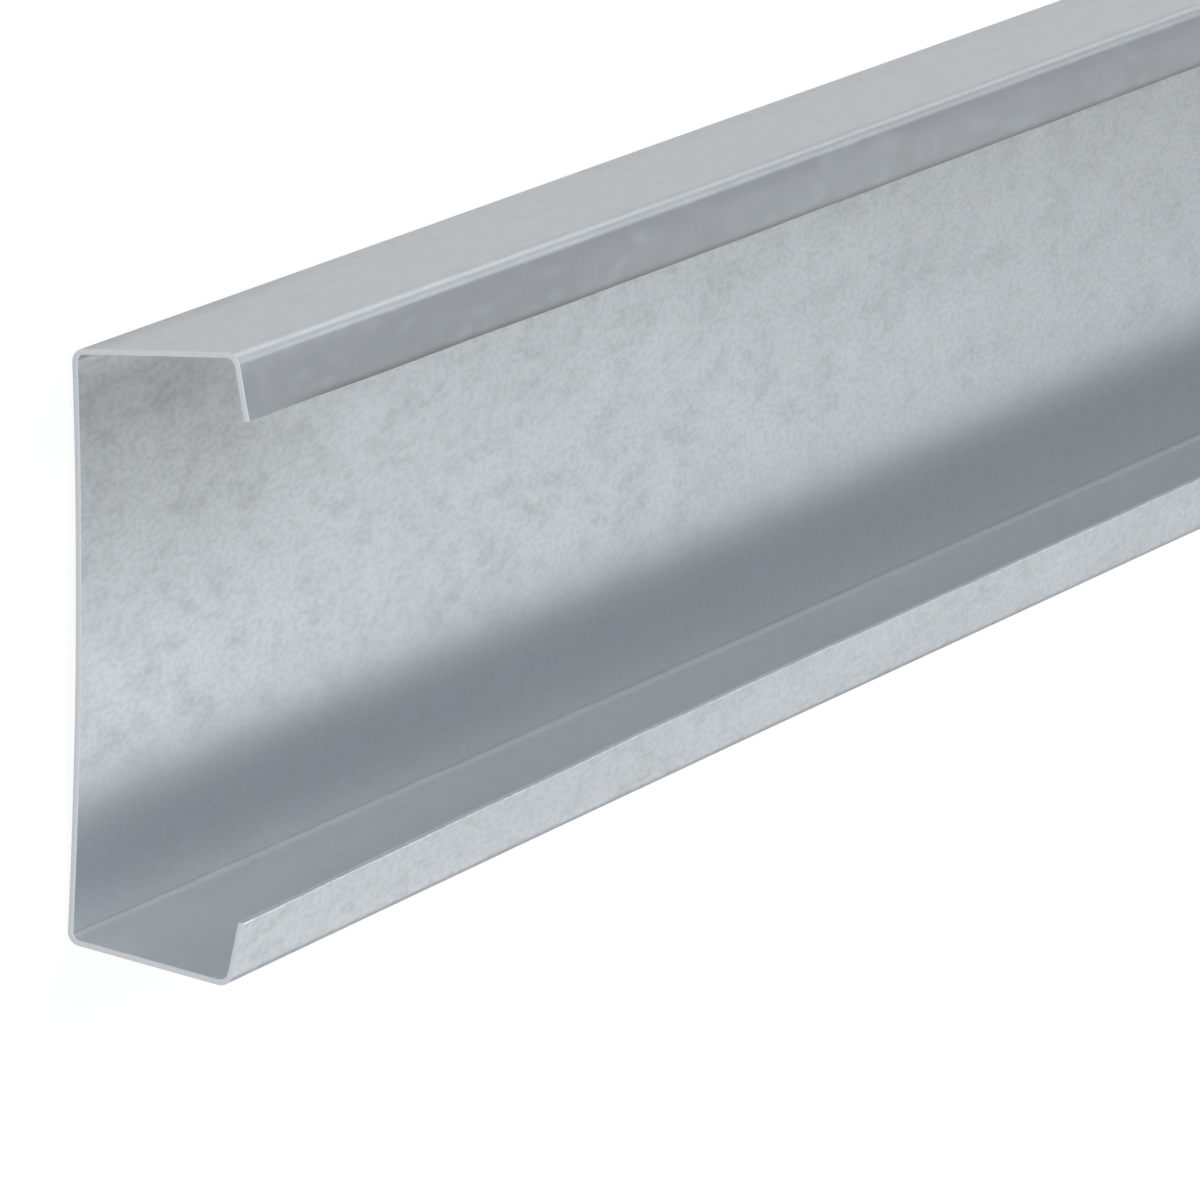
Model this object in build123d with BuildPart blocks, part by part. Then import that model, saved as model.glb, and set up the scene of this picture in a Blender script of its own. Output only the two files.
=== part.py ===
"""A galvanised steel purlin: one length of cold-rolled lipped channel.

The length lies on the back of its web, as it comes to rest on a level floor, with the
open side up. X runs along the length, Y across the web and Z from the web to the lips.
All lengths are in millimetres and all angles in degrees.
"""

from build123d import *
from math import cos, radians, sin
import os

os.makedirs("parts", exist_ok=True)

# Stock.
stock_length = 3000.0

# Section, measured over the outside of the folded strip.
web_height = 200.0
flange_width = 62.0
lip_depth = 23.0
sheet = 2.0
bend_radius = 4.5

# The bends spring back a little after the last rolls, so all along the length the flanges
# stand more than square to the web, and the lips a little more than square to the flanges.
toe_out = 4.0
lip_open = 1.0

# End flare. Rolling leaves stress locked in the strip, and where the shear cuts it the
# section springs further: flanges and lips open out and the middle of the web comes
# forward. It is greatest at the cut and dies away along the length.
flare_length = 420.0
flange_flare = 1.9
lip_flare = 5.0
web_bow = 2.3
flare_fade = 1.5

# Where the flared zone is drawn, as shares of flare_length measured from the cut.
flare_stations = (0.0, 0.12, 0.27, 0.45, 0.68, 1.0)


def section(x, share):
    """The strip cut across at x. share is 1 at a sheared end and 0 where it is regular."""
    flange_angle = radians(toe_out + flange_flare * share)
    lip_angle = flange_angle + radians(lip_open + lip_flare * share)
    half = web_height / 2
    fold_y = half + flange_width * sin(flange_angle)
    fold_z = flange_width * cos(flange_angle)
    tip_y = fold_y - lip_depth * cos(lip_angle)
    tip_z = fold_z + lip_depth * sin(lip_angle)
    with BuildSketch(Plane.YZ.offset(x)) as strip:
        with BuildLine() as outside:
            Polyline((-tip_y, tip_z), (-fold_y, fold_z), (-half, 0))
            if share > 0:
                ThreePointArc((-half, 0), (0, web_bow * share), (half, 0))
            else:
                Line((-half, 0), (half, 0))
            Polyline((half, 0), (fold_y, fold_z), (tip_y, tip_z))
            bends = outside.vertices().filter_by(lambda v: abs(v.X) > tip_y + bend_radius / 2)
            fillet(bends, bend_radius)
            offset(amount=sheet, side=Side.LEFT)
        make_face()
    return strip.sketch.face()


with BuildPart() as purlin:
    # The regular middle, straight as it leaves the last pair of rolls.
    middle = stock_length / 2 - flare_length
    extrude(section(-middle, 0), amount=2 * middle)
    # Both ends are sheared, so both ends spring.
    for end in (-1, 1):
        stations = [
            section(end * (stock_length / 2 - flare_length * along), (1 - along) ** flare_fade)
            for along in flare_stations
        ]
        loft(stations)

purlin.part.label = "purlin"
export_step(purlin.part, "parts/purlin.step")
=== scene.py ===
# %% [markdown]
# # A galvanised steel purlin
# This file dresses one length of cold-rolled lipped channel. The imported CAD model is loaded
# first and stays as it is. Everything below is placed in its frame, in metres: X runs along
# the length, Y across the web, and Z from the back of the web to the lips.

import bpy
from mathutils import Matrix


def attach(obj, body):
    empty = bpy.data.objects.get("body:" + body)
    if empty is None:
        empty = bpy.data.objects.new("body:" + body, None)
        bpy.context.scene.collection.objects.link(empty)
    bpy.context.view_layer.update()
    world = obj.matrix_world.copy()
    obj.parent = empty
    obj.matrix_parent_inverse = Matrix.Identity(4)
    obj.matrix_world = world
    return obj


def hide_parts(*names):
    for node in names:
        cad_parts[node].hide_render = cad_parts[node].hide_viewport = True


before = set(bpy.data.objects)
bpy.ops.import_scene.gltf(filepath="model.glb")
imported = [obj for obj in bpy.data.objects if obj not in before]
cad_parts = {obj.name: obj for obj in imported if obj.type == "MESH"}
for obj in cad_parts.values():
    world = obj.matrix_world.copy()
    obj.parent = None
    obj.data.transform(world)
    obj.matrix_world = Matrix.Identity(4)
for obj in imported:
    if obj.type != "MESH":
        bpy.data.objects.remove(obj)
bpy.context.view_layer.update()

# %% [markdown]
# The camera comes first, because every later choice is judged through it. The photograph was
# taken from far away with a long lens, so the channel's edges run almost parallel. The lens,
# the place and the two directions below were fitted to the edges in the photograph. The
# channel lies on its web here, so the camera looks down on it and is turned on its side: the
# flange on the +Y side is the upper one in the picture.

# %% Camera
import bpy
import bmesh
from math import atan2, cos, pi, radians, sin, sqrt, tan
from mathutils import Matrix, Vector, noise

stock_length = 3.0
near_cut = Vector((-stock_length / 2, 0, 0))
camera_place = Vector((-4.49871, 0.87054, 1.77168))
picture_right = Vector((0.469436, 0.0192, 0.882758))
picture_up = Vector((0.201082, 0.971168, -0.128054))

camera_data = bpy.data.cameras.new("camera")
camera_data.sensor_width = 36
camera_data.lens = 330
camera_data.clip_start = 0.1
camera_data.clip_end = 500
camera = bpy.data.objects.new("camera", camera_data)
bpy.context.scene.collection.objects.link(camera)
picture_back = picture_right.cross(picture_up)
camera.matrix_world = Matrix.Translation(camera_place) @ Matrix(
    (picture_right, picture_up, picture_back)
).transposed().to_4x4()
bpy.context.scene.camera = camera
print("camera stands", round((camera_place - near_cut).length, 2), "m from the near cut")

# %% [markdown]
# The real purlin is one strip of steel folded four times, so the model is made the same way:
# as the outside of the strip first, without thickness. A few vertices give the fold lines, an
# extrusion gives the length, and a bevel rounds each fold. The sizes are the ones the CAD
# model has. A few more rows lie close to the slit edges of the lips, so that a mark can fade
# over them later.

# %% The strip's outside, folded
web_height = 0.200
flange_width = 0.062
lip_depth = 0.023
sheet = 0.002
bend_radius = 0.0045
toe_out = radians(4.0)
lip_open = radians(1.0)

flange_run = Vector((0, sin(toe_out), cos(toe_out)))
lip_run = Vector((0, -cos(toe_out + lip_open), sin(toe_out + lip_open)))
web_corner = near_cut + Vector((0, web_height / 2, 0))
lip_corner = web_corner + flange_run * flange_width
slit_rows = (0.0030, 0.0022, 0.0015, 0.0009, 0.0004, 0.0)
lip_points = [lip_corner + lip_run * (lip_depth - row) for row in slit_rows]


def other_side(point):
    """The same point on the other side of the web's middle."""
    return Vector((point.x, -point.y, point.z))


half_section = [web_corner, lip_corner, *lip_points]
fold_points = [other_side(point) for point in reversed(half_section)] + half_section
strip = bmesh.new()
corners = [strip.verts.new(point) for point in fold_points]
across = [strip.edges.new(pair) for pair in zip(corners, corners[1:])]
made = bmesh.ops.extrude_edge_only(strip, edges=across)
far_corners = [part for part in made["geom"] if isinstance(part, bmesh.types.BMVert)]
bmesh.ops.translate(strip, verts=far_corners, vec=(stock_length, 0, 0))
print("flat faces of the strip:", len(strip.faces))

# %% [markdown]
# Each bend is an arc of 4.5 mm on the outside. A bevel is told how far from the fold it
# starts, and for an arc that touches both faces this is the radius times the tangent of half
# the angle that the strip turns through.

# %% Round the four folds
bend_steps = 8
fold_reach = 0.001


def fold_edges(fold_y):
    """The long edges of the two folds that lie this far from the web's middle."""
    return [
        edge for edge in strip.edges
        if len(edge.link_faces) == 2
        and abs(abs(edge.verts[0].co.y) - fold_y) < fold_reach
        and abs(edge.verts[0].co.x - edge.verts[1].co.x) > stock_length / 2
    ]


for turned, fold_y in ((pi / 2 - toe_out, web_corner.y), (pi / 2 - lip_open, lip_corner.y)):
    folds = fold_edges(fold_y)
    bmesh.ops.bevel(
        strip, geom=folds, offset=bend_radius * tan(turned / 2), offset_type="OFFSET",
        affect="EDGES", segments=bend_steps, profile=0.5, material=-1,
    )
    print("rounded", len(folds), "folds")

# %% [markdown]
# The flat parts get rows of cells of about 10 mm. The strip needs them because the next step
# bends it, and a sheet of faces can bend only where it has an edge. Each kind of edge is found
# by its length: first those across the web, then the flanges, the lips and the whole length.

# %% Cells of about ten millimetres
cell = 0.010


def divide(low, high, size):
    """Cut the edges between two lengths into pieces of about the given size."""
    edges = [edge for edge in strip.edges if low < edge.calc_length() < high]
    cuts = round(edges[0].calc_length() / size) - 1
    bmesh.ops.subdivide_edges(strip, edges=edges, cuts=cuts, use_grid_fill=True)


for shortest, longest, size in (
    (0.150, 0.250, cell),
    (0.040, 0.070, cell),
    (0.015, 0.020, cell / 2),
    (stock_length - 0.001, stock_length + 0.001, cell),
):
    divide(shortest, longest, size)
print("cells:", len(strip.faces))

# %% [markdown]
# Rolling leaves stress locked in the strip, and where the shear cuts it the section springs:
# the flanges and lips open out and the middle of the web comes forward. The photograph shows
# this plainly at the near end. The helpers here tell where each point of the regular strip
# lies once the ends have sprung: the web bows, the flange turns about the centre of its bend,
# and the lip turns about the centre of the next bend. A lattice could bend the strip too, but
# it would stretch the flats, and steel that springs only turns.

# %% How the cut ends spring open
flare_length = 0.420
flange_flare = radians(1.9)
lip_flare = radians(5.0)
web_bow = 0.0023
flare_fade = 1.5
hair = 1e-6

half_web = web_height / 2
web_foot = Vector((0, half_web, 0))
lip_foot = web_foot + flange_run * flange_width
web_bend = Vector((0, half_web - bend_radius * tan((pi / 2 - toe_out) / 2), bend_radius))
lip_bend = lip_foot + (lip_run - flange_run) * bend_radius / (1 + sin(lip_open))


def past(point, centre, start, turn):
    """How far round a bend a point lies: 0 before the bend and 1 beyond it."""
    away = point - centre
    return min(max((atan2(away.z, away.y) - start) / turn, 0), 1)


def opened(point, centre, before, after, share, runs):
    """A point moved as its bend opens. What the arc loses is let out into both flats."""
    angle = before + (after - before) * share
    let_out = runs * bend_radius * (after - before) * share
    return centre + Matrix.Rotation(-angle, 3, "X") @ (point - centre + let_out)


def sprung(point):
    """Where a point of the regular strip lies once the ends have sprung."""
    from_cut = stock_length / 2 - abs(point.x)
    fade = max(0, 1 - from_cut / flare_length) ** flare_fade
    here = Vector((0, abs(point.y), point.z))
    web_slope = 2 * web_bow * fade * web_bend.y / half_web ** 2
    web_y = web_bend.y
    if (here - lip_foot).dot(flange_run) > -bend_radius - hair:
        share = past(here, lip_bend, -toe_out, pi / 2 - lip_open)
        here = opened(here, lip_bend, 0, lip_flare * fade, share, flange_run + lip_run)
    if here.y > web_bend.y + hair or here.z > bend_radius:
        share = past(here, web_bend, -pi / 2, pi / 2 - toe_out)
        runs = Vector((0, 1, 0)) + flange_run
        here = opened(here, web_bend, web_slope, flange_flare * fade, share, runs)
    else:
        web_y = here.y
    here.z += web_bow * fade * (1 - (web_y / half_web) ** 2)
    return Vector((point.x, here.y if point.y > 0 else -here.y, here.z))


# %% [markdown]
# The finish needs to know where on the strip it is: on the outside of a bend the zinc is
# stretched, and on the inside of each bend a narrow line of painted shade runs along the first
# part of the arc. Such places are easiest to tell while the strip is still regular, so each
# vertex notes them just before it moves. The notes are layers of numbers, which the material
# can read later.

# %% Note the bends, then spring the ends
crease_shade_at = 0.20
cut_reach = 1e-4


def round_the_arc(point):
    """How far round its arc a point lies, from 0 to 1; 0 or 1 on the flats."""
    here = Vector((0, abs(point.y), point.z))
    shares = (
        past(here, web_bend, -pi / 2, pi / 2 - toe_out),
        past(here, lip_bend, -toe_out, pi / 2 - lip_open),
    )
    return max(shares, key=lambda share: share * (1 - share))


def from_slit(point):
    """How far a point of the lip lies from its slit edge; large for all other points."""
    here = Vector((0, abs(point.y), point.z))
    on_lip = here.z > lip_foot.z - bend_radius
    return lip_depth - (here - lip_foot).dot(lip_run) if on_lip else web_height


bend_mark = strip.verts.layers.float.new("bend")
bend_dimming_mark = strip.verts.layers.float.new("painted_bend_dimming")
crease_shade_mark = strip.verts.layers.float.new("painted_crease_shade")
slit_mark = strip.verts.layers.float.new("from_slit")
for vert in strip.verts:
    share = round_the_arc(vert.co)
    vert[bend_mark] = 4 * share * (1 - share)
    # painted shade along the inside of each bend, strongest a fifth of the way round the arc
    vert[crease_shade_mark] = max(0, 1 - ((share - crease_shade_at) / crease_shade_at) ** 2)
    vert[slit_mark] = from_slit(vert.co)
    vert.co = sprung(vert.co)
at_near_cut = [vert.co for vert in strip.verts if vert.co.x < near_cut.x + cut_reach]
near_width = 2 * max(point.y for point in at_near_cut) * 1000
print("near end is", round(near_width, 1), "mm wide over the flanges")

# %% [markdown]
# The long edges of the lips were slit from a wider coil. The photograph shows a thin dark line
# along the lip on the +Y side and none on the other, so the colour is made darker over the
# last two millimetres beside the +Y slit edge. The line is one more mark, which fades out at
# the cut ends. The slit edges also wander by a few tenths of a millimetre.

# %% Mark and wander of the slit edges
dark_line_reach = 0.0024
dark_line_from_cut = (0.005, 0.070)
edge_wave = 0.00030
waves_per_metre = 16
wave_from_cut = (0.001, 0.020)
noise_row = 7


def eased(value, low, high):
    """0 below low and 1 above high, with a soft run between."""
    share = min(max((value - low) / (high - low), 0), 1)
    return share * share * (3 - 2 * share)


dark_slit_line_mark = strip.verts.layers.float.new("dark_slit_line")
for vert in strip.verts:
    near_slit = max(0, 1 - vert[slit_mark] / dark_line_reach)
    from_cut = stock_length / 2 - abs(vert.co.x)
    side = 1 if vert.co.y > 0 else -1
    # a darker line in the colour beside the slit edge of the +Y lip only
    if side > 0:
        vert[dark_slit_line_mark] = near_slit * eased(from_cut, *dark_line_from_cut)
    place = Vector((vert.co.x * waves_per_metre, side, noise_row))
    wander = noise.noise(place) * edge_wave * near_slit
    vert.co.y += side * wander * eased(from_cut, *wave_from_cut)
print("vertices near a drawn edge:", sum(vert[dark_slit_line_mark] > 0 for vert in strip.verts))

# %% [markdown]
# Three more things in the photograph depend on the place. In one corner of the web, beside the
# +Y flange and close to the near cut, the colour carries painted shade where the flange and
# lip hide part of the room. The grain shows on the bright part of the web and on the -Y lip
# and hardly on the other faces. The outside of the bends is painted greyer farther from the
# cuts, painted shade that dims the highlight there. Each becomes a mark that fades softly,
# because a hard border would look painted.

# %% Marks of the painted corner shade, the grain and the painted shade on the bends
corner_shade_along = (0.07, 0.20)
corner_shade_across = (-0.015, 0.045)
web_ends_at = (0.004, 0.014)
grain_across = (-0.062, -0.036)
band_grain = 0.40
quiet_grain = 0.25
bend_dimming_along = (0.05, 0.50)

corner_shade_mark = strip.verts.layers.float.new("painted_corner_shade")
grain_mark = strip.verts.layers.float.new("grain")
for vert in strip.verts:
    from_near_cut = vert.co.x + stock_length / 2
    from_cut = stock_length / 2 - abs(vert.co.x)
    on_web = 1 - eased(vert.co.z, *web_ends_at)
    beside_cut = 1 - eased(from_near_cut, *corner_shade_along)
    # painted shade in the web's corner beside the +Y flange, close to the near cut
    vert[corner_shade_mark] = on_web * beside_cut * eased(vert.co.y, *corner_shade_across)
    on_lower_lip = vert.co.y < 0 and vert[slit_mark] < lip_depth
    web_grain = on_web * max(eased(vert.co.y, *grain_across), band_grain)
    vert[grain_mark] = 1 if on_lower_lip else max(web_grain, quiet_grain)
    # painted shade on the outside of the bends, growing away from the cuts, dims the highlight
    # there
    vert[bend_dimming_mark] = vert[bend_mark] * eased(from_cut, *bend_dimming_along)
print("vertices with the full grain:", sum(vert[grain_mark] > 0.99 for vert in strip.verts))

# %% [markdown]
# No rolled strip is perfectly flat. A slow noise moves the sheet by a tenth of a millimetre or
# so, which only shows where light glances along it.

# %% Slight unevenness from the rolls
sheet_wave = 0.00012
slow_along = 7
slow_across = 18
noise_shift = 3

strip.normal_update()
for vert in strip.verts:
    along, over, up = vert.co
    place = Vector((along * slow_along, over * slow_across, up * slow_across + noise_shift))
    vert.co += vert.normal * noise.noise(place) * sheet_wave
print("sheet is uneven by up to", round(sheet_wave * 1000, 2), "mm")

# %% [markdown]
# Now the strip gets its thickness. The faces so far are the outside of the fold, so solidify
# adds the inside and closes the rim between them. The rim is where the shear and the slitter
# have cut. Only its faces touch the outside, so that is how they are found. They get a
# material slot of their own. The inside is a copy that took over all the marks, so the marks
# of stretched zinc and of the painted shade that dims the bend highlight are wiped there, and
# the painted shade along the inside of the bends is wiped on the outside.

# %% Thickness and rim
bmesh.ops.recalc_face_normals(strip, faces=strip.faces)
middle_face = min(strip.faces, key=lambda face: face.calc_center_median().length)
if middle_face.normal.z > 0:
    bmesh.ops.reverse_faces(strip, faces=strip.faces)
outside = set(strip.faces)
bmesh.ops.solidify(strip, geom=strip.faces[:], thickness=sheet)
rim = {
    face for outer in outside for edge in outer.edges for face in edge.link_faces
    if face not in outside
}
for face in rim:
    face.material_index = 1
for face in strip.faces:
    if face not in rim:
        unused_marks = (crease_shade_mark,) if face in outside else (bend_mark, bend_dimming_mark)
        for vert in face.verts:
            for unused_mark in unused_marks:
                vert[unused_mark] = 0
print("rim faces:", len(rim), "volume:", round(strip.calc_volume() * 1e6, 1), "cm3")

# %% [markdown]
# A cut edge of sheet metal is never quite sharp. A bevel of a fifth of a millimetre takes the
# sharpness off all round the rim, so that it catches a thin line of light. The lines between
# the cuts and the faces are kept sharp for shading, so the flat faces still look flat.

# %% Take the sharpness off the cut edges
edge_break = 0.0002
sharp_angle = radians(60)

sharp_edges = [
    edge for edge in {edge for face in rim for edge in face.edges}
    if len(edge.link_faces) == 2 and edge.calc_face_angle(0) > sharp_angle
]
broken = bmesh.ops.bevel(
    strip, geom=sharp_edges, offset=edge_break, offset_type="OFFSET",
    affect="EDGES", segments=2, profile=0.5, material=-1,
)
for face in broken["faces"]:
    face.material_index = 1
bmesh.ops.recalc_face_normals(strip, faces=strip.faces)
for face in strip.faces:
    face.smooth = True
for edge in strip.edges:
    edge.smooth = len({face.material_index for face in edge.link_faces}) == 1
print("faces with the edges broken:", len(strip.faces))

# %% [markdown]
# The mesh becomes a piece that stands for the CAD node. It rides on the same body, and its
# finish is the galvanised steel made below. It has no modifier. A weighted normal would make
# the flats shade dead flat right up to the bends, and without it the light turns softly beside
# each bend, as it does on rolled steel.

# %% The purlin as a piece
purlin_mesh = bpy.data.meshes.new("purlin_strip")
strip.to_mesh(purlin_mesh)
strip.free()
purlin = bpy.data.objects.new("purlin_strip", purlin_mesh)
bpy.context.scene.collection.objects.link(purlin)
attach(purlin, "root")
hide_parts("purlin")
print("triangles:", sum(len(face.vertices) - 2 for face in purlin_mesh.polygons))

# %% [markdown]
# All finishes below are made of nodes, so that they need no picture and stay sharp at any
# distance. Five small helpers keep the cells short: one starts a material, one adds a node,
# one makes a noise in metres on the purlin, one brings a value from one range to another, and
# one joins two values.

# %% Helpers for materials
def new_material(name):
    """A material with its node tree and its shader."""
    material = bpy.data.materials.new(name)
    material.use_nodes = True
    tree = material.node_tree
    return material, tree, tree.nodes["Principled BSDF"]


def add(tree, kind, label, **settings):
    """A node with its settings; names that are sockets set the socket's value."""
    node = tree.nodes.new(kind)
    node.label = label
    for name, value in settings.items():
        socket = name.replace("_", " ").title()
        if socket in node.inputs:
            node.inputs[socket].default_value = value
        else:
            setattr(node, name, value)
    return node


def pattern(tree, label, scale, detail, roughness, stretch=(1, 1, 1)):
    """Noise on the object's own coordinates, which are metres on the purlin."""
    place = add(tree, "ShaderNodeTexCoord", "metres on the purlin")
    spread = add(tree, "ShaderNodeMapping", label + " stretch")
    spread.inputs["Scale"].default_value = stretch
    speckle = add(
        tree, "ShaderNodeTexNoise", label, scale=scale, detail=detail, roughness=roughness
    )
    tree.links.new(place.outputs["Object"], spread.inputs["Vector"])
    tree.links.new(spread.outputs["Vector"], speckle.inputs["Vector"])
    return speckle


def between(tree, label, value, low, high, out_low, out_high):
    """Value from low..high brought to out_low..out_high, with soft ends."""
    span = add(tree, "ShaderNodeMapRange", label, interpolation_type="SMOOTHSTEP")
    names = ("From Min", "From Max", "To Min", "To Max")
    for name, number in zip(names, (low, high, out_low, out_high)):
        span.inputs[name].default_value = number
    tree.links.new(value, span.inputs["Value"])
    return span.outputs["Result"]


def combine(tree, operation, first, second):
    """Two values added, multiplied and so on; the second may be a plain number."""
    sum_node = add(tree, "ShaderNodeMath", operation.lower(), operation=operation)
    tree.links.new(first, sum_node.inputs[0])
    if isinstance(second, (int, float)):
        sum_node.inputs[1].default_value = second
    else:
        tree.links.new(second, sum_node.inputs[1])
    return sum_node.outputs[0]


# %% [markdown]
# Hot-dip zinc freezes in crystals of a millimetre or two, and rolling stretches them along
# the strip. Each crystal is a slightly different grey. Between them lie dull spots that gather
# in groups. Both are noises here, one fine and one coarser. The crystals of the real surface
# also tilt a little, but a fine tilt leaves stray dots in a render of few samples, so the
# crystals are told by their colour. The surface is three quarters metal, because crystals also
# scatter some light in all directions.

# %% Galvanised face: crystals and dull spots
metal_share = 0.75
rolled = (0.5, 1.0, 1.0)
spot_grey = 0.12

galvanised, zinc, zinc_shader = new_material("galvanised_steel")
zinc_shader.inputs["Metallic"].default_value = metal_share

crystals = pattern(zinc, "crystals", 560.0, 1.0, 0.5, rolled)
spots = pattern(zinc, "dull spots", 170.0, 1.0, 0.5, rolled)
groups = pattern(zinc, "where spots gather", 40.0, 1.0, 0.5)
dull = combine(
    zinc, "MULTIPLY", between(zinc, "spots", spots.outputs[0], 0.40, 0.72, 0.0, 1.0),
    between(zinc, "groups", groups.outputs[0], 0.36, 0.62, 0.3, 1.0),
)
grain = between(zinc, "crystal grey", crystals.outputs[0], 0.28, 0.66, 0.20, 0.0)
grain = combine(zinc, "ADD", grain, combine(zinc, "MULTIPLY", dull, spot_grey))
print("noises in the zinc:", sum(node.type == "TEX_NOISE" for node in zinc.nodes))

# %% [markdown]
# The grain and the marks add up to one number, which says how dark the zinc is at a place.
# The grain and the dull spots are the zinc's own. The marks in the web's corner and on the
# inside and outside of the bends are painted shade, and the line beside the +Y slit edge is a
# darker line. A ramp turns the number into a colour, from bright zinc to dark. This is simpler
# to tune than a mix of many colours, because each mark has one number of its own.

# %% Galvanised face: colour
bright_zinc = (0.615, 0.648, 0.672, 1)
dark_zinc = (0.28, 0.295, 0.305, 1)


def mark(name):
    """One of the marks on the vertices, as a value for the material."""
    return add(zinc, "ShaderNodeAttribute", name, attribute_name=name).outputs["Fac"]


shade = combine(zinc, "MULTIPLY", grain, mark("grain"))
# painted shade from three of these marks: inside of the bends, outside of the bends away from
# the cuts, and the web's corner; the other is the darker slit line
for name, amount in (
    ("painted_crease_shade", 0.45), ("dark_slit_line", 0.82), ("painted_bend_dimming", 0.24), ("painted_corner_shade", 0.30),
):
    shade = combine(zinc, "ADD", shade, combine(zinc, "MULTIPLY", mark(name), amount))

zinc_colour = add(zinc, "ShaderNodeValToRGB", "zinc colour")
zinc_colour.color_ramp.elements[0].color = bright_zinc
zinc_colour.color_ramp.elements[1].color = dark_zinc
zinc.links.new(shade, zinc_colour.inputs["Fac"])
zinc.links.new(zinc_colour.outputs["Color"], zinc_shader.inputs["Base Color"])
print("zinc colour has", len(zinc_colour.color_ramp.elements), "stops")

# %% [markdown]
# Dull spots are a little rougher than the rest, and so is the stretched zinc on the bends: it
# spreads the highlight along them. The groups of spots also tilt the surface slightly. The
# tilt is slow, so it only makes the room's reflection a little uneven, as on real sheet.

# %% Galvanised face: roughness and tilt
zinc_roughness = 0.29
spot_roughness = 0.05
bend_roughness = 0.12
group_tilt = 0.03

rough = combine(zinc, "ADD", combine(zinc, "MULTIPLY", dull, spot_roughness), zinc_roughness)
rough = combine(zinc, "ADD", rough, combine(zinc, "MULTIPLY", mark("bend"), bend_roughness))
zinc.links.new(rough, zinc_shader.inputs["Roughness"])

smooth_face = add(zinc, "ShaderNodeNewGeometry", "smooth face")
about_zero = add(zinc, "ShaderNodeVectorMath", "tilt about zero", operation="SUBTRACT")
about_zero.inputs[1].default_value = (0.5, 0.5, 0.5)
tilt = add(zinc, "ShaderNodeVectorMath", "group tilt", operation="SCALE", scale=group_tilt)
tilted = add(zinc, "ShaderNodeVectorMath", "group tilt added", operation="ADD")
one_long = add(zinc, "ShaderNodeVectorMath", "one long", operation="NORMALIZE")
zinc.links.new(groups.outputs["Color"], about_zero.inputs[0])
zinc.links.new(about_zero.outputs[0], tilt.inputs[0])
zinc.links.new(smooth_face.outputs["Normal"], tilted.inputs[0])
zinc.links.new(tilt.outputs[0], tilted.inputs[1])
zinc.links.new(tilted.outputs[0], one_long.inputs[0])
zinc.links.new(one_long.outputs[0], zinc_shader.inputs["Normal"])
purlin_mesh.materials.append(galvanised)
print("galvanised face:", len(zinc.nodes), "nodes")

# %% [markdown]
# The shear leaves bare steel with fine marks across the thickness. It is brighter than the
# zinc and a little rougher, and it gets a material of its own, because the rim is the one
# place where the coating is missing.

# %% Cut edge
grey_steel = (0.74, 0.77, 0.79, 1)
pale_steel = (0.91, 0.93, 0.94, 1)

sheared, cut, cut_shader = new_material("sheared_edge")
cut_shader.inputs["Metallic"].default_value = 1.0
burr = pattern(cut, "shear marks", 900.0, 3.0, 0.6, (0.4, 1.0, 1.0)).outputs[0]
cut_colour = add(cut, "ShaderNodeValToRGB", "sheared steel")
cut_colour.color_ramp.elements[0].color = grey_steel
cut_colour.color_ramp.elements[1].color = pale_steel
cut.links.new(burr, cut_colour.inputs["Fac"])
cut.links.new(cut_colour.outputs["Color"], cut_shader.inputs["Base Color"])
cut_rough = between(cut, "roughness", burr, 0.3, 0.7, 0.35, 0.5)
cut.links.new(cut_rough, cut_shader.inputs["Roughness"])
purlin_mesh.materials.append(sheared)
print("materials on the purlin:", [material.name for material in purlin_mesh.materials])

# %% [markdown]
# The purlin lies on a plain pale floor. In the photograph the background is white, so the
# floor shows as white to the camera and to reflections, and a share of it stays an ordinary
# matt floor so that the purlin's shadow still falls there.

# %% Floor
half_floor = 150
floor_drop = 0.0005

floor_mesh = bpy.data.meshes.new("floor")
floor_shape = bmesh.new()
bmesh.ops.create_grid(floor_shape, x_segments=1, y_segments=1, size=half_floor)
bmesh.ops.translate(floor_shape, verts=floor_shape.verts, vec=(0, 0, -floor_drop))
floor_shape.to_mesh(floor_mesh)
floor_shape.free()
floor = bpy.data.objects.new("floor", floor_mesh)
bpy.context.scene.collection.objects.link(floor)
print("floor is", 2 * half_floor, "m wide and lies", floor_drop * 1000, "mm under the web")

# %% [markdown]
# The floor's white is light of its own. A light path node tells the shader what kind of ray
# has met the floor, so the white can be full for the camera and lower in the metal, where the
# floor of the photograph looks grey. The shadow needs the matt floor, so the mix keeps a
# share of it.

# %% Floor finish
floor_to_camera = 1.05
floor_in_metal = 0.655
white_share = 0.88

floor_paint, ground, ground_shader = new_material("pale_floor")
ground_shader.inputs["Base Color"].default_value = (0.85, 0.85, 0.85, 1)
ground_shader.inputs["Roughness"].default_value = 0.9
ray = add(ground, "ShaderNodeLightPath", "what kind of ray")
camera_ray, glossy_ray = ray.outputs["Is Camera Ray"], ray.outputs["Is Glossy Ray"]
white = add(ground, "ShaderNodeEmission", "white background")
to_camera = combine(ground, "MULTIPLY", camera_ray, floor_to_camera - floor_in_metal)
level = combine(ground, "ADD", to_camera, floor_in_metal)
ground.links.new(level, white.inputs["Strength"])
seen = combine(ground, "MAXIMUM", camera_ray, glossy_ray)
share = combine(ground, "MULTIPLY", seen, white_share)
blend = add(ground, "ShaderNodeMixShader", "white, with the shadow kept")
ground.links.new(share, blend.inputs["Fac"])
ground.links.new(ground_shader.outputs["BSDF"], blend.inputs[1])
ground.links.new(white.outputs["Emission"], blend.inputs[2])
ground.links.new(blend.outputs["Shader"], ground.nodes["Material Output"].inputs["Surface"])
floor_mesh.materials.append(floor_paint)
print("floor finish:", len(ground.nodes), "nodes")

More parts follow.
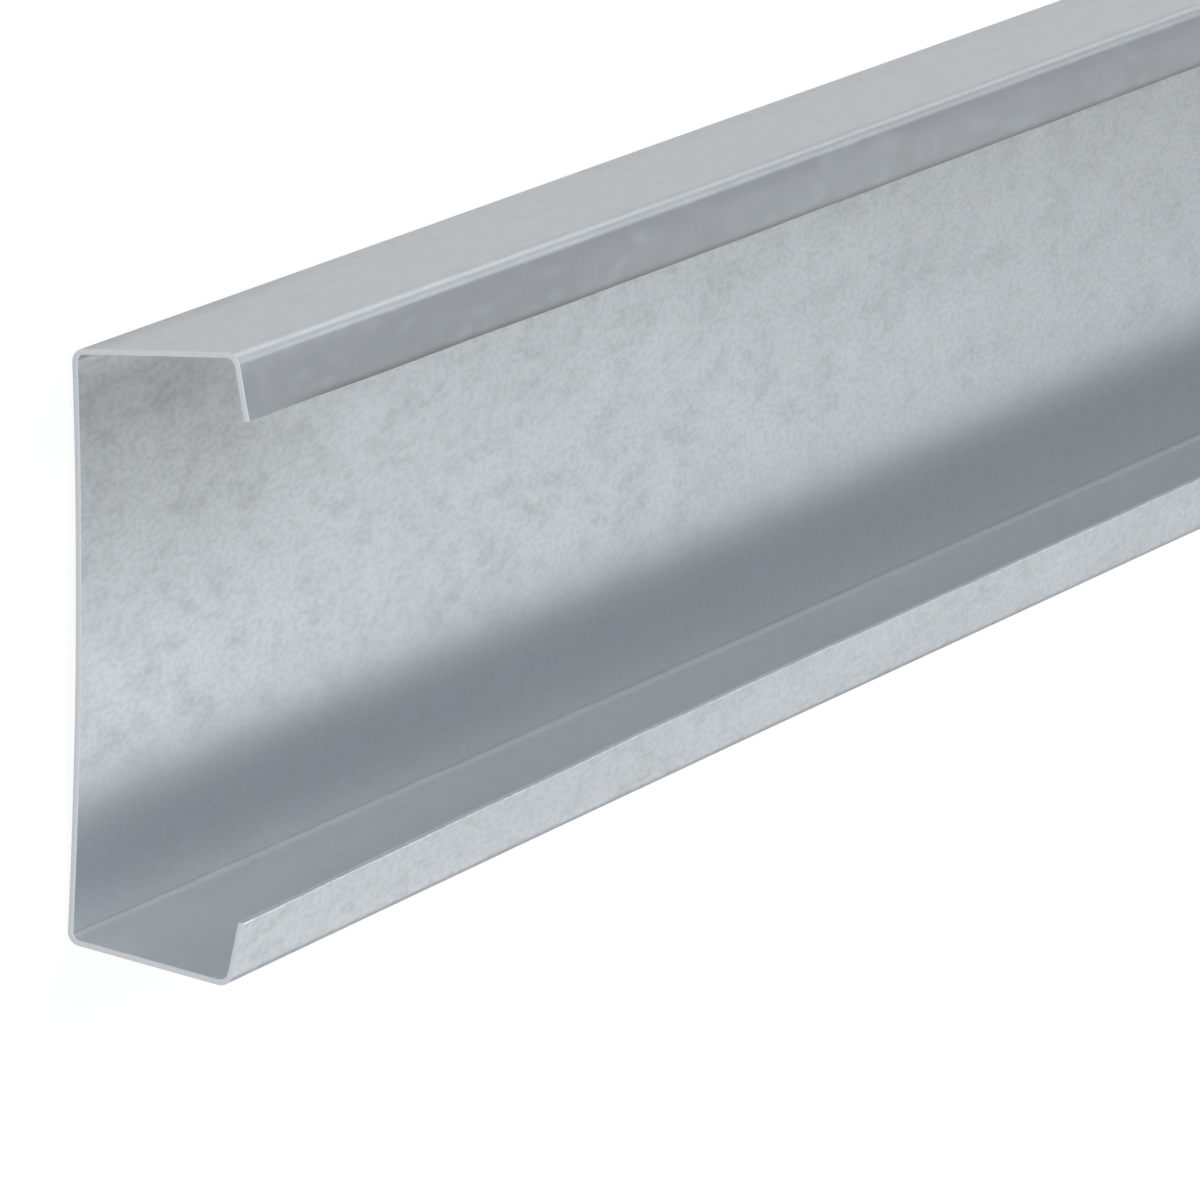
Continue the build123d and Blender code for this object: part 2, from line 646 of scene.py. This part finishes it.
# %% [markdown]
# A metal needs something to reflect, so most of the light is in the room. It is a soft dome,
# brighter behind the camera than beyond the far end. Beyond the far end there is a wide dim
# sector, which gives the dark band along the web and the dark flange. In it and beside it
# stand eight soft patches of light. Their directions and levels were found from the
# photograph: the render is a sum of what each part of the room adds, so the levels that come
# closest to it can be solved for.

# %% Room: dome and soft patches
far_level = 0.35
near_level = 0.86
turn_over = 0.15
core_share = 0.4

room = bpy.data.worlds.new("studio")
bpy.context.scene.world = room
room.use_nodes = True
sky = room.node_tree
direction = add(sky, "ShaderNodeTexCoord", "direction").outputs["Generated"]
parts = add(sky, "ShaderNodeSeparateXYZ", "direction parts")
sky.links.new(direction, parts.inputs["Vector"])
along = parts.outputs["X"]


def patch(label, y, z, radius):
    """1 in a soft round patch of the sky beyond the far end and 0 outside it."""
    aim = add(sky, "ShaderNodeVectorMath", label, operation="DOT_PRODUCT")
    aim.inputs[1].default_value = (sqrt(1 - y * y - z * z), y, z)
    sky.links.new(direction, aim.inputs[0])
    rim_cos, core_cos = cos(radians(radius)), cos(radians(radius * core_share))
    return between(sky, label, aim.outputs["Value"], rim_cos, core_cos, 0.0, 1.0)


light = between(sky, "near to far", along, -turn_over, turn_over, near_level, far_level)
dim = combine(sky, "MULTIPLY", patch("dim sector", -0.18, 0.61, 58.0), -0.96)
light = combine(sky, "MULTIPLY", light, combine(sky, "ADD", dim, 1.0))
patches = (
    ("box that the web mirrors", -0.33, 0.42, 11.0, 0.76),
    ("its edge towards +Y", -0.20, 0.38, 9.0, 0.37),
    ("its top", -0.25, 0.58, 9.0, 1.14),
    ("low box on the -Y side", -0.50, 0.22, 12.0, 1.26),
    ("box over the -Y side", -0.32, 0.77, 15.8, 2.05),
    ("box over the +Y side", 0.37, 0.80, 23.0, 5.25),
    ("low box on the +Y side", 0.60, 0.06, 16.0, 1.62),
    ("card that the upper lip mirrors", 0.08, 0.46, 11.0, 0.24),
)
for label, y, z, radius, level in patches:
    lit = combine(sky, "MULTIPLY", patch(label, y, z, radius), level)
    light = combine(sky, "ADD", light, lit)
print("patches of light in the room:", len(patches))

# %% [markdown]
# The photograph's shadows are a little blue, so the half of the room behind the camera gets a
# cool tint and the other half stays white. The camera itself sees plain white past the floor.
# The view transform is Standard, so that white stays white in the picture.

# %% Room: tint and background
cool = (0.93, 1.0, 1.10, 1)
neutral = (1, 1, 1, 1)

tint = add(sky, "ShaderNodeMix", "cool behind the camera", data_type="RGBA")
tint.inputs[6].default_value = cool
tint.inputs[7].default_value = neutral
far_half = between(sky, "far half", along, -turn_over, turn_over, 0.0, 1.0)
sky.links.new(far_half, tint.inputs[0])
dome = sky.nodes["Background"]
sky.links.new(tint.outputs[2], dome.inputs["Color"])
sky.links.new(light, dome.inputs["Strength"])
plain = add(sky, "ShaderNodeBackground", "plain white", color=neutral, strength=1.0)
view_ray = add(sky, "ShaderNodeLightPath", "what kind of ray")
choose = add(sky, "ShaderNodeMixShader", "white to the camera")
sky.links.new(view_ray.outputs["Is Camera Ray"], choose.inputs["Fac"])
sky.links.new(dome.outputs["Background"], choose.inputs[1])
sky.links.new(plain.outputs["Background"], choose.inputs[2])
sky.links.new(choose.outputs["Shader"], sky.nodes["World Output"].inputs["Surface"])

bpy.context.scene.view_settings.view_transform = "Standard"
print("room:", len(sky.nodes), "nodes")
